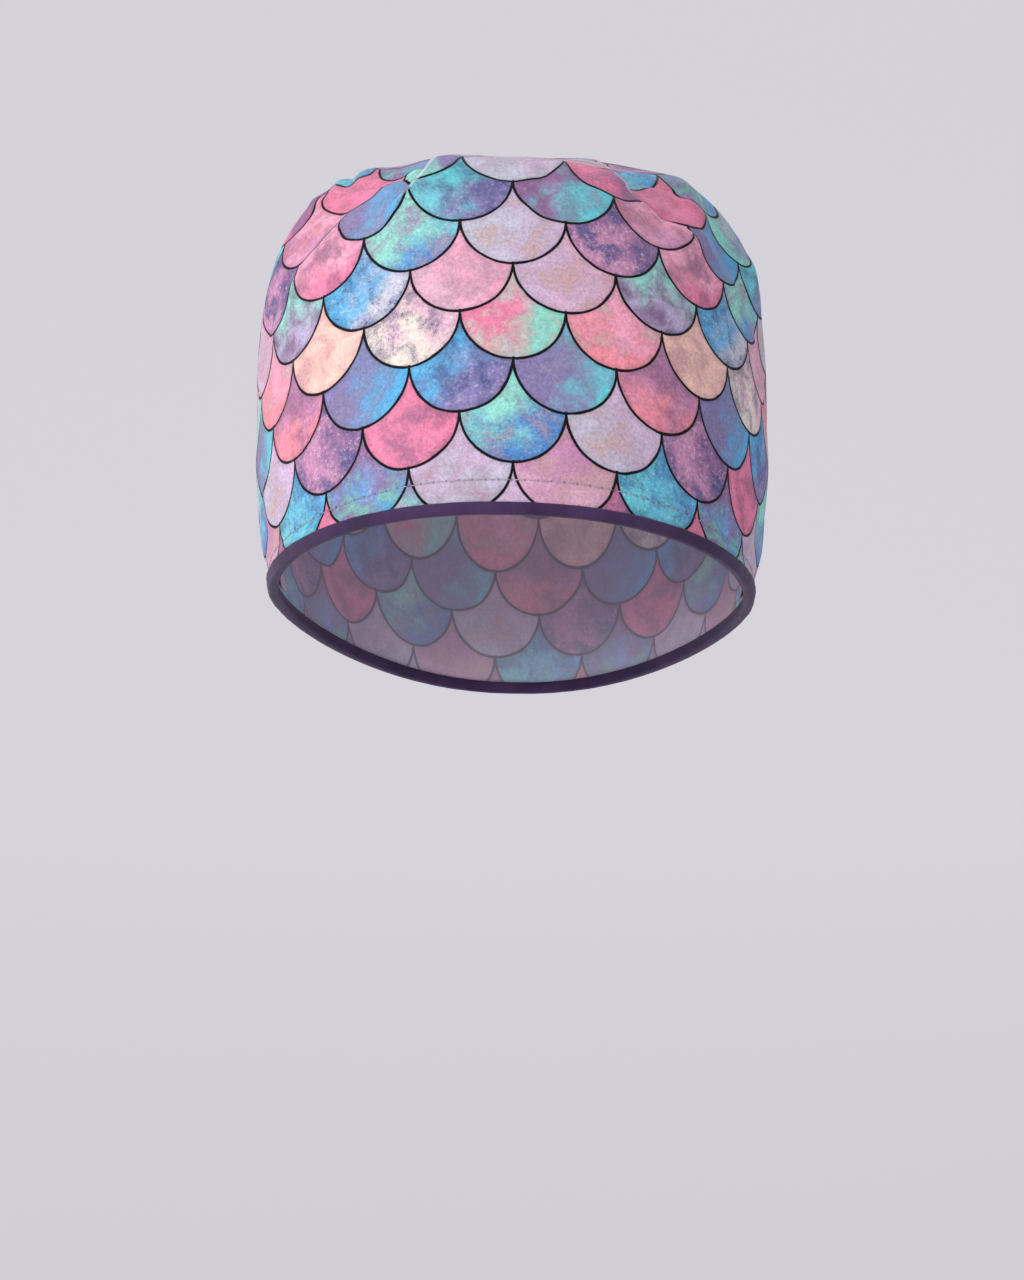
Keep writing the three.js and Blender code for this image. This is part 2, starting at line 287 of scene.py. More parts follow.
# Broad folds seen from the front: shares of half the width and of the crown height for the two ends,
# the lift at each end in millimetres, and the share of fold_reach
fold_reach = 6
broad_folds = [
    (-0.18, 1.0, -0.42, 0.89, 0.24, 2.4, 1.0), (-0.42, 0.98, -0.6, 0.86, -0.96, -0.72, 0.9),
    (0.4, 1.0, 0.56, 0.88, -2.16, -2.4, 1.1), (0.62, 0.92, 0.68, 0.83, 0.72, 1.68, 1.0),
    (0.88, 0.8, 0.94, 0.7, 0.48, 0.72, 1.1),
]
# Creases and puffs by place on the cloth: millimetres across from the centre line and up from the rim for the
# two ends, then the lift and the half-width in millimetres
creases = [
    (-36, 104.5, -50, 98, 1.0, 1.9), (-38, 107.5, -53, 100.5, -0.8, 2.0), (-31, 119, -45, 150, 1.1, 2.6),
    (-35.5, 116.5, -53, 130, -1.2, 2.2), (-40, 112, -58, 122, 1.0, 2.8), (-52, 140, -46, 180, 1.1, 4),
    (-62, 135, -58, 170, 1.0, 3.2), (-57, 140, -52, 175, -0.9, 2.8), (-70, 130, -74, 150, 0.7, 4.5),
    (-33, 114, -40, 118, 0.9, 1.8), (-44, 104, -60, 104, 0.5, 2.4), (-48, 100, -66, 98, -0.4, 2.4),
    (39, 113, 54, 106, -0.9, 3), (54, 106, 68, 101, -0.8, 3), (42, 107.5, 56, 101, 0.7, 3),
    (50, 124, 58, 117, 1.3, 4.5), (66, 120, 71, 114, 1.6, 5), (56, 128, 63, 116, -1.0, 2.6),
    (44, 135, 50, 130, -0.8, 3), (40, 150, 47, 138, 0.8, 4), (60, 145, 56, 175, 0.6, 4),
    (5, 122, 5, 100, 0.3, 3), (10.3, 119, 10.6, 95, -0.5, 3.4), (15, 119, 15.2, 95, 0.45, 3),
    (21.7, 118, 21.6, 96, -0.5, 4), (28, 120, 28, 100, 0.4, 4), (-8, 124, -8, 104, 0.25, 3.5),
    (-149, 33, -137, 12, 0.9, 5), (-125, 40, -118, 12, -0.7, 5), (-112, 38, -108, 12, 0.5, 4),
    (-102, 20, -99, 8, -0.4, 4), (149, 33, 136, 14, 0.8, 5), (124, 38, 118, 12, -0.6, 5),
    (100, 20, 97, 8, -0.4, 4), (112, 118, 107, 101, 0.8, 6), (104, 112, 100, 100, -0.5, 4),
]


def segment_distance(here, start, end):
    """Distance of each point from a line, and how far along the line its nearest point is."""
    start, along = np.array(start), np.subtract(end, start)
    share = np.clip(((here - start) @ along) / (along @ along), 0, 1)
    return np.linalg.norm(here - start - share[..., None] * along, axis=-1), share


def fold_height(p, across, up):
    """What folds, creases and puffs add to the cloth's height at each point."""
    height = np.zeros(p.shape[:-1])
    size = np.array([half_width, crown_height])
    for x0, z0, x1, z1, lift0, lift1, reach in broad_folds:
        away, share = segment_distance(p[..., [0, 2]], size * (x0, z0), size * (x1, z1))
        height += (lift0 + (lift1 - lift0) * share) * np.exp(-((away / (reach * fold_reach)) ** 2))
    height *= ease(-p[..., 1], -seam_top_y, seam_foot_y)
    cloth = np.stack([across, up], -1)
    for across0, up0, across1, up1, crease_lift, half in creases:
        away, share = segment_distance(cloth, (across0, up0), (across1, up1))
        height += crease_lift * np.exp(-((away / half) ** 2))
    return height


def lay_flat(grid, start, loose, zone):
    """Places of a grid's points on the flat cloth, from a first guess, so that neighbours stay as far apart.

    loose is 0 where the guess stays. Neighbours in different zones, with a tuck between them, keep the
    guess's distance.
    """
    flat = start.copy()
    for stride, rounds in ((5, 1500), (1, 160)):
        part = (slice(None, None, stride), slice(None, None, stride))
        here, free = flat[part].copy(), loose[part][..., None]
        rows, columns = here.shape[:2]
        links = []
        for down, over in ((0, 1), (1, 0), (1, 1), (1, -1)):
            a = (slice(0, rows - down), slice(max(-over, 0), columns - max(over, 0)))
            b = (slice(down, rows), slice(max(over, 0), columns + min(over, 0)))
            length = np.where(
                zone[part][a] == zone[part][b],
                np.linalg.norm(grid[part][a] - grid[part][b], axis=-1),
                np.linalg.norm(start[part][a] - start[part][b], axis=-1))
            links.append((a, b, length))
        for _ in range(rounds):
            push = np.zeros_like(here)
            pulls = np.full(here.shape[:2], 0.5)
            for a, b, length in links:
                gap = here[b] - here[a]
                now = np.linalg.norm(gap, axis=-1) + 1e-6
                move = gap * (0.5 * (1 - length / now))[..., None]
                push[a] += move
                push[b] -= move
                pulls[a] += 0.5
                pulls[b] += 0.5
            here += 0.9 * free * push / pulls[..., None]
        moved = here - flat[part]
        if stride > 1:
            row_at, column_at = np.arange(flat.shape[0]) / stride, np.arange(flat.shape[1]) / stride
            tall = np.stack([
                [np.interp(row_at, np.arange(rows), moved[:, j, k]) for j in range(columns)]
                for k in (0, 1)], -1)
            moved = np.stack([
                [np.interp(column_at, np.arange(columns), tall[:, i, k]) for i in range(flat.shape[0])]
                for k in (0, 1)], -1)
        flat += moved
    return flat


def crowded(even_shares, middle, weight):
    """Shares from 0 to 1 that crowd together near the middle given, so that a fold's edge is sharp."""
    fine = np.linspace(0, 1, 2000)
    crowd = np.cumsum(1 + weight * np.exp(-((fine - middle) / 0.025) ** 2))
    crowd = (crowd - crowd[0]) / (crowd[-1] - crowd[0])
    return np.interp(even_shares, crowd, fine)


def climb_between_rows(grid, across):
    """Cloth length from each row of a panel's grid to the next, without its slip sideways."""
    rise = np.linalg.norm(np.diff(grid, axis=0), axis=-1)
    return np.sqrt(np.maximum(rise**2 - np.diff(across, axis=0) ** 2, 0))


def added_up(climb):
    return np.concatenate([np.zeros((1, climb.shape[1])), np.cumsum(climb, axis=0)])


slack = 0.28
seam_roll_depth = 0.75
fold_turn = 0.2
tuck_start = 0.48
front_line = centre_line(-1, brow_height + panel_hem)
front_length = evenly(front_line, [0])[1]
front_row_shares = np.concatenate([[0, 0.008], np.linspace(binding_height / front_length, 1, 150)])
half_columns = np.linspace(0, 1, 112)
plain_shares = np.tile(np.concatenate([-half_columns[::-1], half_columns[1:]]), (len(front_row_shares), 1))
_, plain_across = panel_grid(-1, front_line, front_rows, front_row_shares, plain_shares)
front_shares = []
for run, reach_row in zip(front_row_shares, plain_across):
    halves = []
    for tuck, row_reach in zip(tucks, (-reach_row[0], reach_row[-1])):
        weight = 6 * ease(run, tuck["place"][0][0] - 0.06, tuck["place"][0][0] + 0.04)
        halves.append(crowded(half_columns, curve_through(tuck["place"])(run) / row_reach, weight))
    front_shares.append(np.concatenate([-halves[0][::-1], halves[1][1:]]))
front_shares = np.array(front_shares)
front_grid, front_across = panel_grid(-1, front_line, front_rows, front_row_shares, front_shares)
front_out = outward_at(front_grid)
front_run = np.repeat(front_row_shares[:, None], front_shares.shape[1], 1)
row_height = front_run * front_length
lift = fold_height(front_grid, front_across, row_height)
cloth_u = front_across.copy()
fold_past = np.full(front_run.shape, 1000.0)
fold_strength = np.zeros(front_run.shape)
for tuck in tucks:
    hidden = curve_through(tuck["hidden"])(front_run)
    past = tuck["hand"] * front_across - curve_through(tuck["place"])(front_run)
    under = ease(past, -0.1, 0.45)
    lap = np.exp(-((past / 10) ** 2)) * (1 - under) - 0.35 * np.exp(-((past / 6) ** 2)) * under
    lift += tuck["lap"] * ease(hidden, 0, 8) * (1 - 0.75 * ease(front_run, 0.6, 0.78)) * lap
    cloth_u += tuck["hand"] * hidden * (past > fold_turn)
    nearer = np.abs(past) < np.abs(fold_past)
    fold_past = np.where(nearer, past, fold_past)
    fold_strength = np.where(nearer, ease(hidden, 1, 8), fold_strength)
lift += slack * soft_noise(front_across, row_height, 46, 3) * ease(front_run, 0.02, 0.15)
edge_share = np.abs(front_shares)
free = (1 - ease(edge_share, 0.93, 1)) * ease(1 - front_run, 0, 0.05) * ease(front_run, 0.03, 0.12)
lift = lift * free
# The cloth rolls in where it meets the crown seam, and it draws down a little along the topstitching
seam_roll = np.maximum(ease(edge_share, 0.985, 1.0), ease(front_run, 0.99, 1.0))
lift -= seam_roll_depth * seam_roll
stitch_line = 9.6 - 1.4 * ease(np.abs(front_across), 20, 90)
lift -= 0.22 * np.exp(-((row_height - stitch_line) / 1.1) ** 2)
lift += 0.16 * np.exp(-((row_height - stitch_line + 2.6) / 1.6) ** 2)
front_outer = front_grid + lift[..., None] * front_out
front_inner = front_outer - cloth_wall * front_out

# Cloth lengths up the panel: as on the centre line below the crown's edge, and as measured above it
climb_rows = np.diff(front_run, axis=0) * front_length
past_edge = ease(front_run[1:], 0.56, 0.66)
climb_true = climb_between_rows(front_grid, front_across)
cloth_v = added_up(climb_rows * (1 - past_edge) + climb_true * past_edge)
# The cloth was cut and pulled a little off its grain: how far the print drifts, in millimetres, by the height
# up the panel, growing from the centre to each side
drift_left = curve_through([(0, 0.5), (30, 1.5), (62, 3.5), (78, 5.5), (93, 9), (108, 9)])
drift_down = curve_through([(47, 0), (62, 0.6), (78, 2.8), (93, 3.8), (108, 6)])
cloth_u += drift_left(row_height) * ease(-front_across, 35, 100)
cloth_v += drift_down(row_height) * ease(front_across, 0, 90)
left_drop = 4.4
cloth_v -= left_drop * ease(-front_across, 45, 80) * ease(row_height, 80, 95)
past_left, past_right = [
    tuck["hand"] * front_across - curve_through(tuck["place"])(front_run) > fold_turn for tuck in tucks]
front_zone = np.where(front_run > tuck_start, past_right * 1 - past_left * 1, 0)
front_loose = ease(front_run, 0.47, 0.58) * ease(front_out[..., 1], -0.12, 0.06)
front_flat = lay_flat(front_grid, np.stack([cloth_u, cloth_v], -1), front_loose, front_zone)
front_print = front_flat / 1000
# Distance past each tuck's fold edge and the tuck's strength, for the painted highlight on the fold edge and
# the painted shade in the crease beyond it
front_tuck = np.stack([fold_past / 1000, fold_strength], -1)
front_stitch = np.stack([front_across, row_height - stitch_line], -1) / 1000


def feed(tree, socket, value):
    """Links a socket to another one, or sets its value."""
    if isinstance(value, bpy.types.NodeSocket):
        tree.links.new(value, socket)
    else:
        socket.default_value = value


def node(tree, kind, at, **inputs):
    """A shader node with some of its inputs set or linked, laid out by column. i0 is the first input."""
    made = tree.nodes.new(kind)
    made.location = (at * 190, 0)
    for key, value in inputs.items():
        feed(tree, made.inputs[int(key[1:])] if key[1:].isdigit() else made.inputs[key], value)
    return made


def math(tree, kind, *values):
    made = tree.nodes.new("ShaderNodeMath")
    made.operation = kind
    for socket, value in zip(made.inputs, values):
        feed(tree, socket, value)
    return made.outputs[0]


def step_between(tree, value, low, high, to_low=0.0, to_high=1.0):
    """A smooth step from one number to another while the value goes from low to high."""
    made = tree.nodes.new("ShaderNodeMapRange")
    made.interpolation_type = "SMOOTHSTEP"
    for socket, number in zip(made.inputs, (value, low, high, to_low, to_high)):
        feed(tree, socket, number)
    return made.outputs[0]


def mix_colour(tree, share, a, b, kind="MIX"):
    made = tree.nodes.new("ShaderNodeMix")
    made.data_type = "RGBA"
    made.blend_type = kind
    for socket, value in ((made.inputs[0], share), (made.inputs[6], a), (made.inputs[7], b)):
        feed(tree, socket, value)
    return made.outputs[2]


def new_group(name, inputs, outputs):
    """An empty node group with named sockets: (name, kind, default) in, (name, kind) out."""
    group = bpy.data.node_groups.new(name, "ShaderNodeTree")
    for label, kind, default in inputs:
        socket = group.interface.new_socket(name=label, in_out="INPUT", socket_type="NodeSocket" + kind)
        if default is not None:
            socket.default_value = default
    for label, kind in outputs:
        group.interface.new_socket(name=label, in_out="OUTPUT", socket_type="NodeSocket" + kind)
    return group, group.nodes.new("NodeGroupInput"), group.nodes.new("NodeGroupOutput")


def paint(red, green, blue):
    """A colour for a shader from its everyday 0 to 255 values."""
    def linear(c):
        c = c / 255
        return c / 12.92 if c <= 0.04045 else ((c + 0.055) / 1.055) ** 2.4

    return (linear(red), linear(green), linear(blue), 1)


# The watercolours of the print
paints = {
    "sky": paint(88, 178, 228), "azure": paint(80, 142, 208), "indigo": paint(88, 98, 166),
    "slate": paint(138, 128, 178), "plum": paint(146, 104, 152), "lilac": paint(190, 170, 206),
    "lavender": paint(208, 182, 210), "rose": paint(224, 176, 198), "mauve": paint(204, 142, 180),
    "hot_pink": paint(238, 132, 168), "pink": paint(244, 168, 194), "coral": paint(244, 146, 160),
    "peach": paint(252, 204, 192), "cream": paint(240, 230, 216), "mint": paint(146, 222, 206),
    "turquoise": paint(104, 206, 218), "mist": paint(198, 198, 214), "white": paint(236, 232, 242),
}
# The print's repeat: eight rows up and four scales across, from the scale at the centre line.
# Each scale: first wash, second wash, patch, direction of the second wash in degrees, speckle, patch strength
chart = [
    [("lavender", "mist", "rose", 270, 0.1, 0.5), ("rose", "mauve", "peach", 90, 0.1, 0.5),
     ("turquoise", "sky", "azure", 20, 0.8, 0.5), ("plum", "sky", "mint", 290, 0.4, 0.9)],
    [("mint", "azure", "lilac", 300, 0.6, 0.8), ("lavender", "mist", "peach", 200, 0.1, 0.6),
     ("mauve", "plum", "indigo", 45, 0.9, 0.7), ("hot_pink", "hot_pink", "plum", 250, 0.2, 0.4)],
    [("sky", "slate", "indigo", 320, 0.5, 0.6), ("slate", "turquoise", "lilac", 10, 0.2, 0.5),
     ("mauve", "coral", "plum", 280, 0.2, 0.4), ("slate", "sky", "lilac", 0, 0.2, 0.4)],
    [("hot_pink", "mint", "cream", 340, 0.1, 0.9), ("coral", "pink", "cream", 70, 0.1, 0.5),
     ("peach", "peach", "pink", 250, 0.0, 0.4), ("cream", "rose", "slate", 50, 1.0, 0.5)],
    [("rose", "pink", "lavender", 30, 0.0, 0.4), ("rose", "lavender", "peach", 180, 0.0, 0.5),
     ("lilac", "mint", "plum", 90, 0.3, 0.8), ("sky", "mist", "azure", 340, 1.0, 0.6)],
    [("lavender", "mist", "peach", 200, 0.1, 0.6), ("mauve", "plum", "indigo", 45, 1.0, 1.0),
     ("hot_pink", "pink", "plum", 110, 0.2, 0.5), ("mint", "azure", "lilac", 300, 0.6, 0.9)],
    [("turquoise", "slate", "indigo", 320, 0.4, 0.6), ("plum", "turquoise", "lilac", 0, 0.2, 0.6),
     ("pink", "mauve", "coral", 250, 0.2, 0.6), ("slate", "sky", "lilac", 350, 0.2, 0.5)],
    [("lavender", "mist", "white", 250, 0.1, 0.5), ("hot_pink", "plum", "mauve", 20, 0.2, 0.7),
     ("hot_pink", "hot_pink", "coral", 90, 0.1, 0.5), ("mint", "slate", "white", 30, 0.2, 0.7)],
]
scale_width = 32.3
scale_rows = 15.55
first_row = 15.6
chart_rows, chart_columns = len(chart), len(chart[0])


def chart_lookup(tree, place, pick):
    """A colour ramp with one step for each scale of the chart."""
    made = tree.nodes.new("ShaderNodeValToRGB")
    ramp = made.color_ramp
    ramp.interpolation = "CONSTANT"
    entries = [pick(scale) for row in chart for scale in row]
    while len(ramp.elements) > 1:
        ramp.elements.remove(ramp.elements[-1])
    ramp.elements[0].position = 0
    ramp.elements[0].color = entries[0]
    for i, colour in enumerate(entries[1:], 1):
        ramp.elements.new(i / len(entries)).color = colour
    tree.links.new(place, made.inputs[0])
    return made.outputs[0]


# Fish-scale print: finds the scale that a point of the cloth is in, and paints it
line_wobble = 0.9
print_shift = 0.3


def make_scale_print():
    group, inside, out = new_group(
        "fish_scale_print", [("Cloth", "Vector", None)], [("Colour", "Color"), ("Ink", "Float")])
    m = partial(math, group)
    noise = partial(node, group, "ShaderNodeTexNoise")
    cloth = inside.outputs[0]
    split = node(group, "ShaderNodeSeparateXYZ", 1, i0=cloth).outputs
    stray = noise(1, Vector=cloth, Scale=90.0, Detail=2.0)
    stray = node(group, "ShaderNodeSeparateColor", 1, i0=stray.outputs[1]).outputs
    u, v = [
        m("ADD", m("MULTIPLY", split[i], 1000), m("MULTIPLY", m("SUBTRACT", stray[i], 0.5), line_wobble))
        for i in (0, 1)]
    u = m("DIVIDE", m("SUBTRACT", u, print_shift), scale_width)
    v = m("DIVIDE", m("SUBTRACT", v, first_row), scale_rows)
    radius = 0.5
    squash = scale_rows / scale_width
    above = m("CEIL", v)

    def candidate(offset):
        """Row, column, place and distance from the centre, for the nearest scale of a row above."""
        row = m("ADD", above, float(offset))
        odd = m("FLOORED_MODULO", row, 2)
        shifted = m("ADD", u, m("MULTIPLY", m("SUBTRACT", 1, odd), 0.5))
        column = m("FLOOR", m("ADD", shifted, 0.5))
        dx = m("SUBTRACT", shifted, column)
        dy = m("MULTIPLY", m("SUBTRACT", v, row), squash)
        far = m("SQRT", m("ADD", m("MULTIPLY", dx, dx), m("MULTIPLY", dy, dy)))
        return (row, column, dx, dy), far

    (top, top_far), (middle, middle_far), (low, _) = candidate(1), candidate(0), candidate(-1)
    in_top = m("LESS_THAN", top_far, radius)
    in_middle = m("MULTIPLY", m("LESS_THAN", middle_far, radius), m("SUBTRACT", 1, in_top))
    chosen = []
    for a, b, c in zip(top, middle, low):
        rest = m("ADD", m("MULTIPLY", b, in_middle), m("MULTIPLY", c, m("SUBTRACT", 1, in_middle)))
        chosen.append(m("ADD", m("MULTIPLY", a, in_top), m("MULTIPLY", rest, m("SUBTRACT", 1, in_top))))
    row, column, dx, dy = chosen
    # Ink line: round the lower edges of the scales above and of this one
    near_top = m("ABSOLUTE", m("SUBTRACT", top_far, radius))
    near_middle = m("ABSOLUTE", m("SUBTRACT", middle_far, radius))
    near = m("MINIMUM", near_top, near_middle)
    pen = noise(2, Vector=cloth, Scale=180.0, Detail=1.0)
    pen_width = m("ADD", 0.0085, m("MULTIPLY", pen.outputs[0], 0.009))
    ink = step_between(group, m("SUBTRACT", near, pen_width), -0.003, 0.004, 1.0, 0.0)
    bleed = step_between(group, near, 0.0, 0.07, 1.0, 0.0)
    chart_row = m("FLOORED_MODULO", row, float(chart_rows))
    chart_column = m("FLOORED_MODULO", column, float(chart_columns))
    place = m("ADD", m("MULTIPLY", chart_row, float(chart_columns)), chart_column)
    place = m("DIVIDE", m("ADD", place, 0.5), float(chart_rows * chart_columns))
    first, second, third = [chart_lookup(group, place, lambda s, i=i: paints[s[i]]) for i in (0, 1, 2)]
    facts = chart_lookup(group, place, lambda s: (s[3] / 360, s[4], s[5], 1))
    turn, speckle, patch_strength = node(group, "ShaderNodeSeparateColor", 3, i0=facts).outputs
    turn = m("MULTIPLY", turn, 2 * pi)
    # Each scale is painted on its own: the noise is moved on for each place in the chart
    own = node(group, "ShaderNodeCombineXYZ", 3, i0=m("ADD", dx, m("MULTIPLY", place, 57.0)),
               i1=m("ADD", dy, m("MULTIPLY", place, 23.0)), i2=m("MULTIPLY", place, 91.0)).outputs[0]
    washes = noise(4, Vector=own, Scale=2.6, Detail=4.0, Roughness=0.52, Distortion=0.35).outputs[0]
    patches = noise(4, Vector=own, Scale=3.9, Detail=5.0, Roughness=0.56, Distortion=0.5).outputs[0]
    toward_u = m("MULTIPLY", dx, m("COSINE", turn))
    toward_v = m("MULTIPLY", m("ADD", dy, 0.15), m("SINE", turn))
    reach = m("MULTIPLY", m("ADD", toward_u, toward_v), 1.5)
    reach = m("ADD", reach, m("MULTIPLY", m("SUBTRACT", washes, 0.5), 2.6))
    colour = mix_colour(group, step_between(group, reach, -0.5, 0.6), first, second)
    patch = m("MULTIPLY", step_between(group, patches, 0.46, 0.7), patch_strength)
    colour = mix_colour(group, patch, colour, third)
    # Granulation, and salt-like speckle with light and dark flecks
    grains = noise(5, Vector=own, Scale=30.0, Detail=4.0, Roughness=0.75).outputs[0]
    flecks = noise(5, Vector=own, Scale=26.0, Detail=4.0, Roughness=0.75, Distortion=0.4).outputs[0]
    patchy = m("MULTIPLY", speckle, step_between(group, washes, 0.42, 0.62))
    dark_fleck = m("MULTIPLY", step_between(group, flecks, 0.55, 0.61), patchy)
    light_fleck = m("MULTIPLY", step_between(group, flecks, 0.46, 0.36), m("MULTIPLY", speckle, 0.75))
    colour = mix_colour(group, m("MULTIPLY", dark_fleck, 0.62), colour, paints["indigo"])
    colour = mix_colour(group, m("MULTIPLY", light_fleck, 0.6), colour, paints["white"])
    # Fine dark veins, where paint gathered in the cracks of the paper that the print was made from
    veins = noise(5, Vector=own, Scale=8.0, Detail=5.0, Roughness=0.68, Distortion=0.7).outputs[0]
    vein = step_between(group, m("ABSOLUTE", m("SUBTRACT", veins, 0.5)), 0.003, 0.018, 1.0, 0.0)
    veined = m("MULTIPLY", step_between(group, patches, 0.44, 0.54), speckle)
    colour = mix_colour(group, m("MULTIPLY", m("MULTIPLY", vein, veined), 0.8), colour, paint(66, 64, 122))
    tone = step_between(group, grains, 0.28, 0.72, 0.74, 1.16)
    tone = m("MULTIPLY", tone, step_between(group, patches, 0.3, 0.7, 1.17, 0.8))
    tone = m("MULTIPLY", tone, m("SUBTRACT", 1, m("MULTIPLY", bleed, 0.16)))
    shade = node(group, "ShaderNodeCombineColor", 6, i0=tone, i1=tone, i2=tone).outputs[0]
    group.links.new(mix_colour(group, 1.0, colour, shade, "MULTIPLY"), out.inputs[0])
    group.links.new(ink, out.inputs[1])
    return group


# Plain weave: threads over and under each other, with slubs, as a height and a mask of thread gaps
def make_weave():
    group, inside, out = new_group(
        "plain_weave", [("Cloth", "Vector", None), ("Threads", "Float", 2200.0), ("Turn", "Float", 0.0)],
        [("Height", "Float"), ("Gaps", "Float"), ("Slub", "Float")])
    m = partial(math, group)
    cloth, threads, turn = inside.outputs[:3]
    turned = node(group, "ShaderNodeVectorRotate", 1, Vector=cloth, Angle=turn).outputs[0]
    stray = node(group, "ShaderNodeTexNoise", 1, Vector=turned, Scale=420.0, Detail=2.0)
    loose = m("MULTIPLY", m("SUBTRACT", stray.outputs[0], 0.5), 2.2)
    split = node(group, "ShaderNodeSeparateXYZ", 2, i0=turned).outputs
    warp, weft = [
        m("SINE", m("ADD", m("MULTIPLY", m("MULTIPLY", split[i], threads), pi), loose)) for i in (0, 1)]
    over = m("MULTIPLY", warp, weft)
    ridges = m("ADD", m("ABSOLUTE", warp), m("ABSOLUTE", weft))
    slub = node(group, "ShaderNodeTexNoise", 2, Vector=turned, Scale=900.0, Detail=4.0, Roughness=0.7)
    height = m("ADD", m("MULTIPLY", over, 0.3), m("MULTIPLY", ridges, 0.3))
    height = m("ADD", height, m("MULTIPLY", slub.outputs[0], 0.9))
    gaps = step_between(group, ridges, 0.35, 0.9, 1.0, 0.0)
    for socket, value in zip(out.inputs, (height, gaps, slub.outputs[0])):
        group.links.new(value, socket)
    return group


scale_print = make_scale_print()
plain_weave = make_weave()


def new_material(name):
    material = bpy.data.materials.new(name)
    material.use_nodes = True
    tree = material.node_tree
    return material, tree, tree.nodes["Principled BSDF"]


def map_place(tree, name):
    """The two parts of the place on one of the cloth's maps."""
    place = node(tree, "ShaderNodeUVMap", -8)
    place.uv_map = name
    return node(tree, "ShaderNodeSeparateXYZ", -7, i0=place.outputs[0]).outputs


def woven(tree, threads, turn):
    """The cloth's own map, and the plain weave on it."""
    cloth = node(tree, "ShaderNodeUVMap", -8)
    cloth.uv_map = "cloth"
    weave = node(tree, "ShaderNodeGroup", -6)
    weave.node_tree = plain_weave
    tree.links.new(cloth.outputs[0], weave.inputs["Cloth"])
    weave.inputs["Threads"].default_value = threads
    weave.inputs["Turn"].default_value = turn
    return cloth.outputs[0], weave.outputs


def printed_cotton(name, fade, stitched):
    """Printed cotton for a panel. fade is how far the print is paled, as on the wrong side of the cloth."""
    material, tree, shader = new_material(name)
    m = partial(math, tree)
    cloth, weave = woven(tree, 2100.0, 0.0)
    painted = node(tree, "ShaderNodeGroup", -6)
    painted.node_tree = scale_print
    tree.links.new(cloth, painted.inputs[0])
    colour = painted.outputs["Colour"]
    # Bare thread tops make the print lighter by a little, and painted shade in the gaps between threads makes
    # it darker
    lint = step_between(tree, weave["Slub"], 0.52, 0.72, 0.0, 0.16)
    colour = mix_colour(tree, lint, colour, paint(236, 230, 240))
    colour = mix_colour(tree, m("MULTIPLY", weave["Gaps"], 0.16), colour, paint(60, 48, 78))
    # Handling dulls the cloth in broad soft areas
    place = node(tree, "ShaderNodeTexNoise", -6, Vector=cloth, Scale=26.0, Detail=3.0)
    dull = step_between(tree, place.outputs[0], 0.45, 0.7, 0.0, 0.1)
    colour = mix_colour(tree, dull, colour, paint(176, 168, 186))
    colour = mix_colour(tree, painted.outputs["Ink"], colour, paint(9, 7, 16))
    height = weave["Height"]
    if stitched:
        # A painted highlight lightens a tuck's folded edge, and painted shade darkens the crease beyond it
        beyond, strength, _ = map_place(tree, "tuck")
        edge = m("ABSOLUTE", m("ADD", beyond, 0.0006))
        painted_fold_highlight = m("MULTIPLY", step_between(tree, edge, 0.0, 0.0011, 0.6, 0.0), strength)
        colour = mix_colour(tree, painted_fold_highlight, colour, paint(238, 234, 244))
        hollow = m("ABSOLUTE", m("SUBTRACT", beyond, 0.0008))
        shaded = m("MULTIPLY", step_between(tree, hollow, 0.0, 0.0013, 0.62, 0.0), strength)
        colour = mix_colour(tree, shaded, colour, paint(44, 34, 66))
        # The needle's holes, dented by the bump and darkened with painted shade, and painted shade along the
        # shallow channel that the stitches draw in
        across, off, _ = map_place(tree, "topstitch")
        pitch = stitch_pitch / 1000
        along = m("FLOORED_MODULO", m("ADD", across, pitch / 2), pitch)
        along = m("SUBTRACT", along, pitch / 2)
        away = m("SQRT", m("ADD", m("MULTIPLY", along, along), m("MULTIPLY", off, off)))
        hole = step_between(tree, away, 0.00022, 0.00062, 0.55, 0.0)
        channel_shade = step_between(tree, m("ABSOLUTE", off), 0.0, 0.0009, 0.14, 0.0)
        colour = mix_colour(tree, channel_shade, colour, paint(96, 82, 112))
        colour = mix_colour(tree, m("MULTIPLY", hole, 0.85), colour, paint(40, 30, 54))
        height = m("SUBTRACT", height, m("MULTIPLY", hole, 2.5))
    if fade:
        colour = mix_colour(tree, fade, colour, paint(214, 206, 220))
    tree.links.new(colour, shader.inputs["Base Color"])
    tree.links.new(step_between(tree, weave["Slub"], 0.3, 0.7, 0.72, 0.92), shader.inputs["Roughness"])
    bump = node(tree, "ShaderNodeBump", -1, Height=height, Strength=0.32, Distance=0.00022)
    tree.links.new(bump.outputs[0], shader.inputs["Normal"])
    shader.inputs["Specular IOR Level"].default_value = 0.22
    shader.inputs["Sheen Weight"].default_value = 0.06
    shader.inputs["Sheen Roughness"].default_value = 0.5
    return material


stitch_pitch = 4.0
front_face = printed_cotton("printed_cotton_front", 0.0, True)
cotton_reverse = printed_cotton("printed_cotton_reverse", 0.45, False)
front_panel = cloth_shell(
    "front_panel_cloth", front_outer, front_inner,
    {"cloth": front_print, "topstitch": front_stitch, "tuck": front_tuck},
    False, [front_face, cotton_reverse])
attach(front_panel, "root")
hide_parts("front_panel")


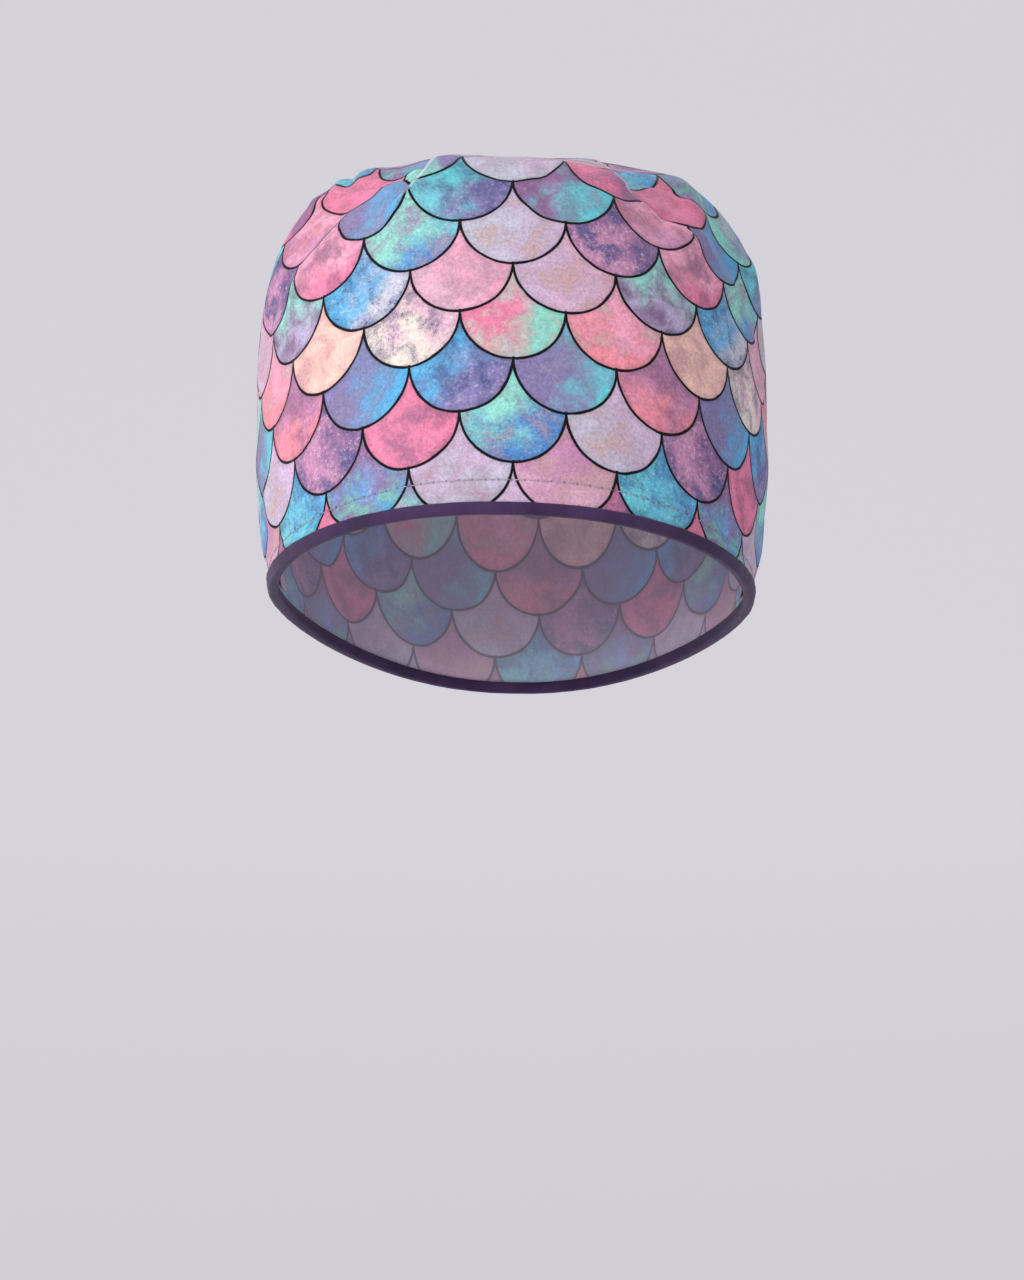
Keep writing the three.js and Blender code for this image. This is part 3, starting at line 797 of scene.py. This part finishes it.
# Back panel
# The same printed cotton from the crown seam down to the nape, sewn right sides together to the front.
# Its lower edge is drawn up into small gathers at the nape before the binding goes on.
gather_count = 9
gather_depth = 1.2
back_print_shift = (5.2 * scale_width, 3.3)
back_line = centre_line(1, nape_height + panel_hem)
back_length = evenly(back_line, [0])[1]
back_row_shares = np.concatenate([[0, 0.008], np.linspace(binding_height / back_length, 1, 110)])
back_edge = np.tile(np.linspace(-1, 1, 161), (len(back_row_shares), 1))
back_grid, back_across = panel_grid(1, back_line, back_rows, back_row_shares, back_edge)
back_out = outward_at(back_grid)
back_run = np.repeat(back_row_shares[:, None], back_edge.shape[1], 1)
gather_fade = ease(0.42 - back_run, 0, 0.42) * np.sqrt(1 - np.abs(back_edge)) * ease(back_run, 0.018, 0.09)
drift = 0.5 * soft_noise(back_edge * 4, back_run * 3, 3.2, 11)
lift = gather_depth * gather_fade * np.cos((back_edge * gather_count + drift) * pi)
lift += slack * soft_noise(back_across, back_run * back_length, 50, 5) * ease(back_run, 0.02, 0.15)
lift *= (1 - ease(np.abs(back_edge), 0.93, 1)) * ease(1 - back_run, 0, 0.05)
lift -= seam_roll_depth * np.maximum(ease(np.abs(back_edge), 0.98, 1.0), ease(back_run, 0.99, 1.0))
back_outer = back_grid + lift[..., None] * back_out
back_inner = back_outer - cloth_wall * back_out
back_v = added_up(climb_between_rows(back_grid, back_across))
back_flat = lay_flat(
    back_grid, np.stack([back_across, back_v], -1), ease(back_run, 0.2, 0.4), np.zeros(back_run.shape))
back_print = (back_flat + back_print_shift) / 1000
back_face = printed_cotton("printed_cotton_back", 0.0, False)
back_panel = cloth_shell(
    "back_panel_cloth", back_outer, back_inner, {"cloth": back_print}, True, [back_face, cotton_reverse])
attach(back_panel, "root")
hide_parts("back_panel")


# Crown seam
# The two panels' seam allowances, pressed open inside along the seam from temple to temple.
# A strip of the same cotton, 12 mm wide, that closes the seam from within.
seam_outer = np.concatenate([front_inner[:, 0], front_inner[-1, 1:-1], front_inner[::-1, -1]])
seam_other = np.concatenate([front_inner[:, 3], front_inner[-4, 1:-1], front_inner[::-1, -4]])
seam_out = np.concatenate([front_out[:, 0], front_out[-1, 1:-1], front_out[::-1, -1]])
inward = seam_outer - seam_other
inward -= (inward * seam_out).sum(-1, keepdims=True) * seam_out
inward = unit(inward)
strip_half = 6.0
strip_wall = 0.5
strip_steps = np.linspace(-1, 1, 9)
keep = slice(6, -6)
strip_top = seam_outer[keep, None] + strip_half * strip_steps[None, :, None] * inward[keep, None]
strip_top = strip_top - (0.3 + 0.25 * strip_steps[None, :, None] ** 2) * seam_out[keep, None]
strip_under = strip_top - strip_wall * seam_out[keep, None]
strip_length = lengths_along(seam_outer[keep])
strip_map = np.stack(np.broadcast_arrays(strip_half * strip_steps[None, :], strip_length[:, None]), -1) / 1000
seam_strip = cloth_shell(
    "crown_seam_allowance", strip_top, strip_under, {"cloth": strip_map},
    False, [cotton_reverse, cotton_reverse])
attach(seam_strip, "root")


# Edge binding
# One dark purple bias tape, folded over the whole slanted rim and sewn through both legs.
# Being cut on the bias, it goes round the curves without a pleat.
def binding_path(grid, out):
    return grid[0], out[0], grid[2] - grid[0]


rim_points, rim_out, rim_up = [
    np.concatenate([front[:-1], back[::-1][:-1]])
    for front, back in zip(binding_path(front_grid, front_out), binding_path(back_grid, back_out))
]
rim_along = np.roll(rim_points, -1, axis=0) - np.roll(rim_points, 1, axis=0)
rim_along = unit(rim_along)
rim_up -= (rim_up * rim_along).sum(1, keepdims=True) * rim_along
rim_up = unit(rim_up)
rim_side = np.cross(rim_along, rim_up)
rim_side *= np.sign((rim_side * rim_out).sum(1, keepdims=True))
leg_top = binding_height - panel_hem
out_face = clearance + tape_wall
in_face = -cloth_wall - clearance - tape_wall
mid = (out_face + in_face) / 2
round_half = (out_face - in_face) / 2
bend = [(mid + round_half * cos(t), -clearance - 0.9 * sin(t)) for t in np.linspace(0, pi, 15)]
channel = (
    [(clearance, leg_top - 0.15), (clearance, 1.4), (clearance, -clearance + 0.1),
     (clearance - 0.4, -clearance), (-cloth_wall - clearance + 0.4, -clearance),
     (-cloth_wall - clearance, -clearance + 0.1),
     (-cloth_wall - clearance, 1.4), (-cloth_wall - clearance, leg_top - 0.15),
     (in_face + 0.55, leg_top), (in_face + 0.2, leg_top - 0.12), (in_face, leg_top - 0.45), (in_face, 1.2)]
    + bend[::-1]
    + [(out_face, 1.2), (out_face, leg_top - 0.45), (out_face - 0.2, leg_top - 0.12),
       (out_face - 0.55, leg_top)]
)
channel = np.array(channel)
rim_length = lengths_along(np.concatenate([rim_points, rim_points[:1]]))
girth = lengths_along(np.concatenate([channel, channel[:1]]))
ripple = 0.1 * np.sin(rim_length[:-1] * 2 * pi / 7.3) + 0.08 * np.sin(rim_length[:-1] * 2 * pi / 17.9 + 1)
stations, corners = len(rim_points), len(channel)
width = channel[None, :, 0] + np.where(channel[None, :, 0] > 0, 0.5, 0) * ripple[:, None]
rings = (rim_points[:, None] + width[..., None] * rim_side[:, None]
         + (channel[None, :, 1] + 0.25 * ripple[:, None])[..., None] * rim_up[:, None]) / 1000
binding_faces, binding_uv = [], []
for i in range(stations):
    for j in range(corners):
        k, l = (i + 1) % stations, (j + 1) % corners
        binding_faces.append((i * corners + j, i * corners + l, k * corners + l, k * corners + j))
        a, b, c, d = rim_length[i], rim_length[i + 1], girth[j], girth[j + 1]
        binding_uv += [(a, c), (a, d), (b, d), (b, c)]


def faced_mesh(name, points, faces, cloth_map=None):
    """A smooth mesh with its faces turned outward. cloth_map is its places on the cloth, corner by corner."""
    mesh = bpy.data.meshes.new(name)
    mesh.from_pydata(points, [], faces)
    if cloth_map is not None:
        layer = mesh.uv_layers.new(name="cloth")
        layer.data.foreach_set("uv", (np.array(cloth_map, np.float32) / 1000).reshape(-1))
    mesh.polygons.foreach_set("use_smooth", np.ones(len(faces), bool))
    fix = bmesh.new()
    fix.from_mesh(mesh)
    bmesh.ops.recalc_face_normals(fix, faces=fix.faces)
    fix.to_mesh(mesh)
    fix.free()
    return mesh


def bias_tape():
    material, tree, shader = new_material("binding_tape")
    cloth, weave = woven(tree, 1900.0, pi / 4)
    tone = node(tree, "ShaderNodeTexNoise", -6, Vector=cloth, Scale=70.0, Detail=4.0)
    tone = step_between(tree, tone.outputs[0], 0.3, 0.7)
    colour = mix_colour(tree, tone, paint(52, 32, 68), paint(70, 46, 88))
    lint = step_between(tree, weave["Slub"], 0.55, 0.75, 0.0, 0.3)
    colour = mix_colour(tree, lint, colour, paint(112, 88, 134))
    # Painted shade in the gaps between the threads
    colour = mix_colour(tree, math(tree, "MULTIPLY", weave["Gaps"], 0.3), colour, paint(34, 20, 48))
    tree.links.new(colour, shader.inputs["Base Color"])
    tree.links.new(step_between(tree, weave["Slub"], 0.3, 0.7, 0.7, 0.9), shader.inputs["Roughness"])
    bump = node(tree, "ShaderNodeBump", -1, Height=weave["Height"], Strength=0.4, Distance=0.00025)
    tree.links.new(bump.outputs[0], shader.inputs["Normal"])
    shader.inputs["Specular IOR Level"].default_value = 0.25
    shader.inputs["Sheen Weight"].default_value = 0.15
    return material


binding_mesh = faced_mesh("edge_binding_tape", rings.reshape(-1, 3).tolist(), binding_faces, binding_uv)
binding_mesh.materials.append(bias_tape())
binding = add_piece("edge_binding_tape", binding_mesh)
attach(binding, "root")
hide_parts("edge_binding")


# Topstitching
# One row of lockstitch in fine lilac-grey thread, some 7 mm above the binding, from seam to seam.
# It holds the turned hem inside; each stitch dips into the cloth at its two ends.
thread_radius = 0.15
stitch_shows = 3.0


def stitched_thread(name, path, normals, colour):
    """A row of stitches along a line of points on the cloth, joined in one mesh."""
    lengths = lengths_along(path)
    sides, steps = 6, 7
    centre = len(path) // 2
    origin = lengths[centre]
    first = int(np.ceil((0 - origin) / stitch_pitch))
    last = int(np.floor((lengths[-1] - origin) / stitch_pitch)) - 1
    points, faces = [], []
    for number in range(first, last + 1):
        begin = origin + number * stitch_pitch + (stitch_pitch - stitch_shows) / 2
        shares = np.linspace(0, 1, steps)
        places = begin + shares * stitch_shows
        spine = np.stack([np.interp(places, lengths, column) for column in path.T], -1)
        up = np.stack([np.interp(places, lengths, column) for column in normals.T], -1)
        up = unit(up)
        height = thread_radius * 0.8 - 0.5 * np.abs(2 * shares - 1) ** 5
        spine = spine + height[:, None] * up
        along = unit(np.gradient(spine, axis=0))
        side = unit(np.cross(along, up))
        over = np.cross(side, along)
        base = len(points)
        for at, s, o in zip(spine, side, over):
            for k in range(sides):
                t = 2 * pi * k / sides
                points.append((at + thread_radius * (cos(t) * s + sin(t) * o)) / 1000)
        for i in range(steps - 1):
            for k in range(sides):
                a, b = base + i * sides + k, base + i * sides + (k + 1) % sides
                faces.append((a, b, b + sides, a + sides))
        faces.append(tuple(base + k for k in reversed(range(sides))))
        faces.append(tuple(base + (steps - 1) * sides + k for k in range(sides)))
    mesh = faced_mesh(name, [tuple(p) for p in points], faces)
    material, tree, shader = new_material(name)
    solid = node(tree, "ShaderNodeTexCoord", -4)
    twist = node(tree, "ShaderNodeTexNoise", -3, Vector=solid.outputs["Object"], Scale=2600.0, Detail=2.0)
    dark = tuple(0.62 * c for c in colour[:3]) + (1,)
    shade = mix_colour(tree, step_between(tree, twist.outputs[0], 0.35, 0.65), dark, colour)
    tree.links.new(shade, shader.inputs["Base Color"])
    tree.links.new(step_between(tree, twist.outputs[0], 0.3, 0.7, 0.5, 0.75), shader.inputs["Roughness"])
    mesh.materials.append(material)
    return add_piece(name, mesh)


def line_on_cloth(surface, heights, wanted):
    """The line on a grid of cloth points where the height up the panel is as wanted, column by column."""
    line = []
    for column in range(surface.shape[1]):
        target = wanted[0, column]
        line.append([np.interp(target, heights[:, column], surface[:, column, k]) for k in range(3)])
    return np.array(line)


stitch_path = line_on_cloth(front_outer, row_height, stitch_line)
stitch_out = line_on_cloth(front_out, row_height, stitch_line)
topstitch = stitched_thread("topstitching", stitch_path[2:-2], stitch_out[2:-2], paint(188, 178, 196))
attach(topstitch, "root")


# Studio
# A pale seamless sweep behind and below the cap, a large soft key from the upper left and a weak fill.
# The sweep glows a little, so that its tone stays even behind the cap and falls off towards the front.
floor_height = -0.36
sweep_front = -2.6
sweep_back = 1.4
sweep_radius = 0.9
sweep_top = 3.4
sweep_points = [(sweep_front, 0.0), (sweep_back, 0.0)]
for t in np.linspace(0, pi / 2, 17)[1:]:
    sweep_points.append((sweep_back + sweep_radius * sin(t), sweep_radius * (1 - cos(t))))
sweep_points.append((sweep_back + sweep_radius, sweep_top))
sweep_half = 3.2
sweep_mesh = bpy.data.meshes.new("studio_sweep")
sweep_vertices = [(x, y, floor_height + z) for y, z in sweep_points for x in (-sweep_half, sweep_half)]
sweep_faces = [(2 * i, 2 * i + 1, 2 * i + 3, 2 * i + 2) for i in range(len(sweep_points) - 1)]
sweep_mesh.from_pydata(sweep_vertices, [], sweep_faces)
sweep_mesh.polygons.foreach_set("use_smooth", np.ones(len(sweep_faces), bool))
sweep_paint, sweep_tree, sweep_shader = new_material("studio_paint")
sweep_place = node(sweep_tree, "ShaderNodeTexCoord", -4)
sweep_depth = node(sweep_tree, "ShaderNodeSeparateXYZ", -3, i0=sweep_place.outputs["Object"]).outputs[1]
sweep_fade = step_between(sweep_tree, sweep_depth, -0.6, 2.2)
sweep_glow = mix_colour(sweep_tree, sweep_fade, paint(199, 194, 203), paint(213, 210, 218))
sweep_tree.links.new(sweep_glow, sweep_shader.inputs["Emission Color"])
sweep_shader.inputs["Emission Strength"].default_value = 0.91
sweep_shader.inputs["Base Color"].default_value = paint(80, 79, 82)
sweep_shader.inputs["Roughness"].default_value = 0.9
sweep_mesh.materials.append(sweep_paint)
sweep = add_piece("studio_sweep", sweep_mesh)


def soft_light(name, place, aim, size, power, colour):
    data = bpy.data.lights.new(name, "AREA")
    data.shape = "DISK"
    data.size = size
    data.energy = power
    data.color = colour
    lamp = bpy.data.objects.new(name, data)
    lamp.location = place
    lamp.rotation_euler = (Vector(aim) - Vector(place)).to_track_quat("-Z", "Y").to_euler()
    bpy.context.scene.collection.objects.link(lamp)


soft_light("key_light", (-1.0, -1.3, 0.7), (0, 0, 0.05), 0.8, 20, (1, 0.985, 0.97))
soft_light("side_light", (-1.5, -0.35, 0.25), (0, 0, 0.05), 0.8, 5, (1, 0.99, 0.98))
soft_light("fill_light", (1.2, -0.9, 0.5), (0, 0, 0.05), 1.2, 4.5, (0.96, 0.97, 1))
soft_light("back_light", (0.2, 1.1, 1.2), (0, 0.1, 0.05), 1.0, 7, (1, 1, 1))
world = bpy.data.worlds.new("studio_world")
world.use_nodes = True
world.node_tree.nodes["Background"].inputs[0].default_value = paint(226, 226, 234)
world.node_tree.nodes["Background"].inputs[1].default_value = 0.4
bpy.context.scene.world = world
bpy.context.scene.view_settings.view_transform = "Standard"
